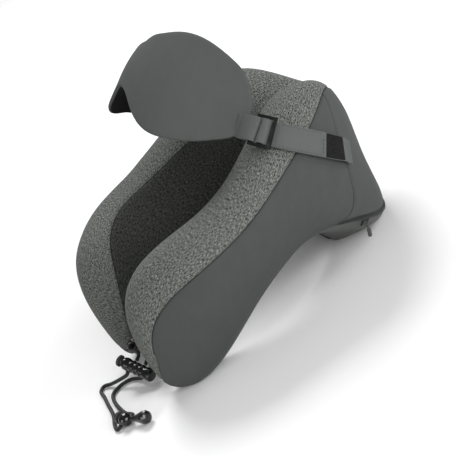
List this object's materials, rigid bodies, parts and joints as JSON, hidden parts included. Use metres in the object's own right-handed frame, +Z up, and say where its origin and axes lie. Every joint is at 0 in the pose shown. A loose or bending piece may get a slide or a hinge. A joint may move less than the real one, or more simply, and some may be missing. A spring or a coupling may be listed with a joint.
{
  "type": "u shaped neck pillow",
  "caption": "U-shaped padded neck pillow with raised lobes, a sleep mask on adjustable straps, a base zip and a drawstring with cord locks at the tips.",
  "frame": {"origin": "on the floor under the middle of the part's box, measured without the free cords and what hangs on them", "axes": "+Z up; +X toward the wearer's left arm of the pillow; -Y toward the open front between the tips, +Y toward the back of the neck"},
  "size_m": [0.264, 0.341, 0.2461],
  "materials": {
    "heather_knit": "heathered grey brushed knit",
    "plain_knit": "plain grey fine knit",
    "base_knit": "smooth grey knit",
    "foam": "open-cell memory foam, hidden inside",
    "grey_webbing": "grey woven webbing",
    "black_hook": "black hook tape",
    "black_plastic": "glossy black moulding",
    "dark_plastic": "dark grey moulding",
    "mask_knit": "smooth grey moulded knit",
    "black_lining": "matt black lining",
    "cord_black": "black braided cord",
    "zip_tape_grey": "dark grey zip tape and coil",
    "dark_metal": "dark plated metal",
    "spring_steel": "bare spring wire"
  },
  "bodies": {
    "pillow": {"foam_core": "foam", "side_panel_left": "plain_knit", "side_panel_right": "plain_knit", "back_panel": "plain_knit", "zip_tape": "zip_tape_grey", "top_band": "heather_knit", "inner_panel": "heather_knit", "base_panel": "base_knit", "strap_anchor_left": "grey_webbing", "strap_anchor_right": "grey_webbing", "zip_coil": "zip_tape_grey", "cord_lock_body": "black_plastic", "cord_lock_spring": "spring_steel", "tail_lock_body": "black_plastic", "tail_lock_spring": "spring_steel", "bell_end": "black_plastic", "tip_eyelet_left": "black_plastic", "tip_eyelet_right": "black_plastic", "tip_cord_left": "cord_black", "tip_cord_right": "cord_black", "draw_cord_left": "cord_black", "draw_cord_right": "cord_black"},
    "straps": {"strap_webbing_left": "grey_webbing", "strap_webbing_right": "grey_webbing", "strap_hook_left": "black_hook", "strap_hook_right": "black_hook", "strap_frame_left": "black_plastic", "strap_frame_right": "black_plastic", "mask_tab_left": "grey_webbing", "mask_tab_right": "grey_webbing"},
    "mask": {"mask_shell": "mask_knit", "mask_foam": "foam", "mask_lining": "black_lining"},
    "lock_button": {"cord_lock_plunger": "dark_plastic"},
    "tail_button": {"tail_lock_plunger": "dark_plastic"},
    "zip_slide": {"zip_slider": "dark_metal"},
    "zip_tag": {"zip_pull": "dark_metal"}
  },
  "joints": [
    {"name": "strap_lift", "type": "hinge", "parent": "pillow", "child": "straps", "pos_m": [0, 0.10737, 0.085], "axis": [-1, 0, 0], "range_deg": [0, 60]},
    {"name": "mask_tilt", "type": "hinge", "parent": "straps", "child": "mask", "pos_m": [0, 0.04808, 0.16188], "axis": [-1, 0, 0], "range_deg": [0, 40]},
    {"name": "cord_lock_press", "type": "slide", "parent": "pillow", "child": "lock_button", "axis": [0.8172, 0.3001, -0.4921], "range_m": [0, 0.003], "stiffness_N_per_m": 300, "springref_m": -0.001},
    {"name": "tail_lock_press", "type": "slide", "parent": "pillow", "child": "tail_button", "axis": [0.9851, 0.172, 0], "range_m": [0, 0.002], "stiffness_N_per_m": 300, "springref_m": -0.001},
    {"name": "zip_travel", "type": "hinge", "parent": "pillow", "child": "zip_slide", "pos_m": [0.0347, 0.06976, 0.0505], "axis": [0.157, 0.6008, 0.7838], "range_deg": [0, 20]},
    {"name": "zip_tag_swing", "type": "hinge", "parent": "zip_slide", "child": "zip_tag", "pos_m": [0.10679, 0.08058, 0.0248], "axis": [0.3432, -0.8156, 0.4659], "range_deg": [-30, 80]}
  ]
}
